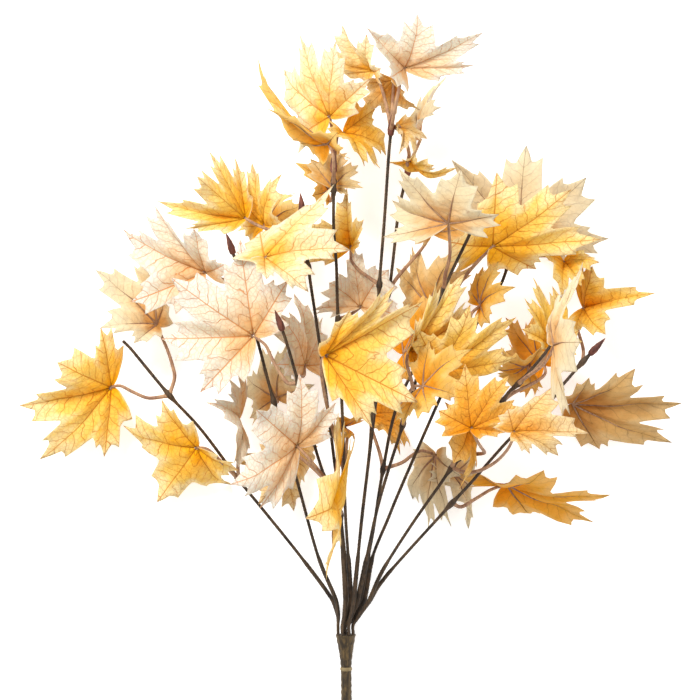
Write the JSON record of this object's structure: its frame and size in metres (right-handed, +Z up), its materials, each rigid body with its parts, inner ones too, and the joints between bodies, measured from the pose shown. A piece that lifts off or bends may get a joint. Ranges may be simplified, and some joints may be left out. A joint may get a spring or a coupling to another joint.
{
  "type": "autumn leaf bunch",
  "caption": "Bunch of autumn maple leaves in cream, gold and amber on thin dark branches that fan out from one short stem; it lies flat on a table.",
  "frame": {"origin": "centre of the bounding box in plan, on the surface that the bunch lies on", "axes": "+Z up from the surface; +Y along the bunch from the stem's cut end to the tips; +X to the right of someone at the stem who looks along +Y"},
  "size_m": [0.5102, 0.5542, 0.1789],
  "materials": {
    "branch_bark": "matte dark brown moulded bark, with fine ridges along the wire branches",
    "leaf_fabric": "thin matte printed cloth leaves, cream to gold and amber, with orange-brown veins"
  },
  "bodies": {
    "root": {"main_stem": "branch_bark", "branch_01": "branch_bark", "branch_02": "branch_bark", "branch_03": "branch_bark", "branch_04": "branch_bark", "branch_05": "branch_bark", "branch_06": "branch_bark", "branch_07": "branch_bark", "branch_08": "branch_bark", "branch_09": "branch_bark", "branch_10": "branch_bark", "branch_11": "branch_bark", "branch_12": "branch_bark", "leaf_b09_c": "leaf_fabric", "leaf_b10_c": "leaf_fabric", "leaf_b03_b": "leaf_fabric", "leaf_b03_d": "leaf_fabric", "leaf_b12_b": "leaf_fabric", "leaf_b08_b": "leaf_fabric", "leaf_b08_a": "leaf_fabric", "leaf_b05_e": "leaf_fabric", "leaf_b06_d": "leaf_fabric", "leaf_b05_c": "leaf_fabric", "leaf_b05_d": "leaf_fabric", "leaf_b07_c": "leaf_fabric", "leaf_b07_a": "leaf_fabric", "leaf_b06_c": "leaf_fabric", "leaf_b06_b": "leaf_fabric", "leaf_b05_h": "leaf_fabric", "leaf_b12_a": "leaf_fabric", "leaf_b01_d": "leaf_fabric", "leaf_b12_c": "leaf_fabric", "leaf_b10_d": "leaf_fabric", "leaf_b01_c": "leaf_fabric", "leaf_b01_a": "leaf_fabric", "leaf_b01_b": "leaf_fabric", "leaf_b08_c": "leaf_fabric", "leaf_b10_b": "leaf_fabric", "leaf_b09_b": "leaf_fabric", "leaf_b09_d": "leaf_fabric", "leaf_b10_a": "leaf_fabric", "leaf_b09_a": "leaf_fabric", "leaf_b11_d": "leaf_fabric", "leaf_b11_b": "leaf_fabric", "leaf_b11_f": "leaf_fabric", "leaf_b11_a": "leaf_fabric", "leaf_b11_e": "leaf_fabric", "leaf_b05_f": "leaf_fabric", "leaf_b05_g": "leaf_fabric", "leaf_b06_a": "leaf_fabric", "leaf_b07_b": "leaf_fabric", "leaf_b04_b": "leaf_fabric", "leaf_b04_a": "leaf_fabric", "leaf_b02_a": "leaf_fabric", "leaf_b09_e": "leaf_fabric", "leaf_b03_c": "leaf_fabric", "leaf_b04_c": "leaf_fabric", "leaf_b04_d": "leaf_fabric", "leaf_b03_a": "leaf_fabric", "leaf_b05_a": "leaf_fabric"}
  },
  "joints": []
}
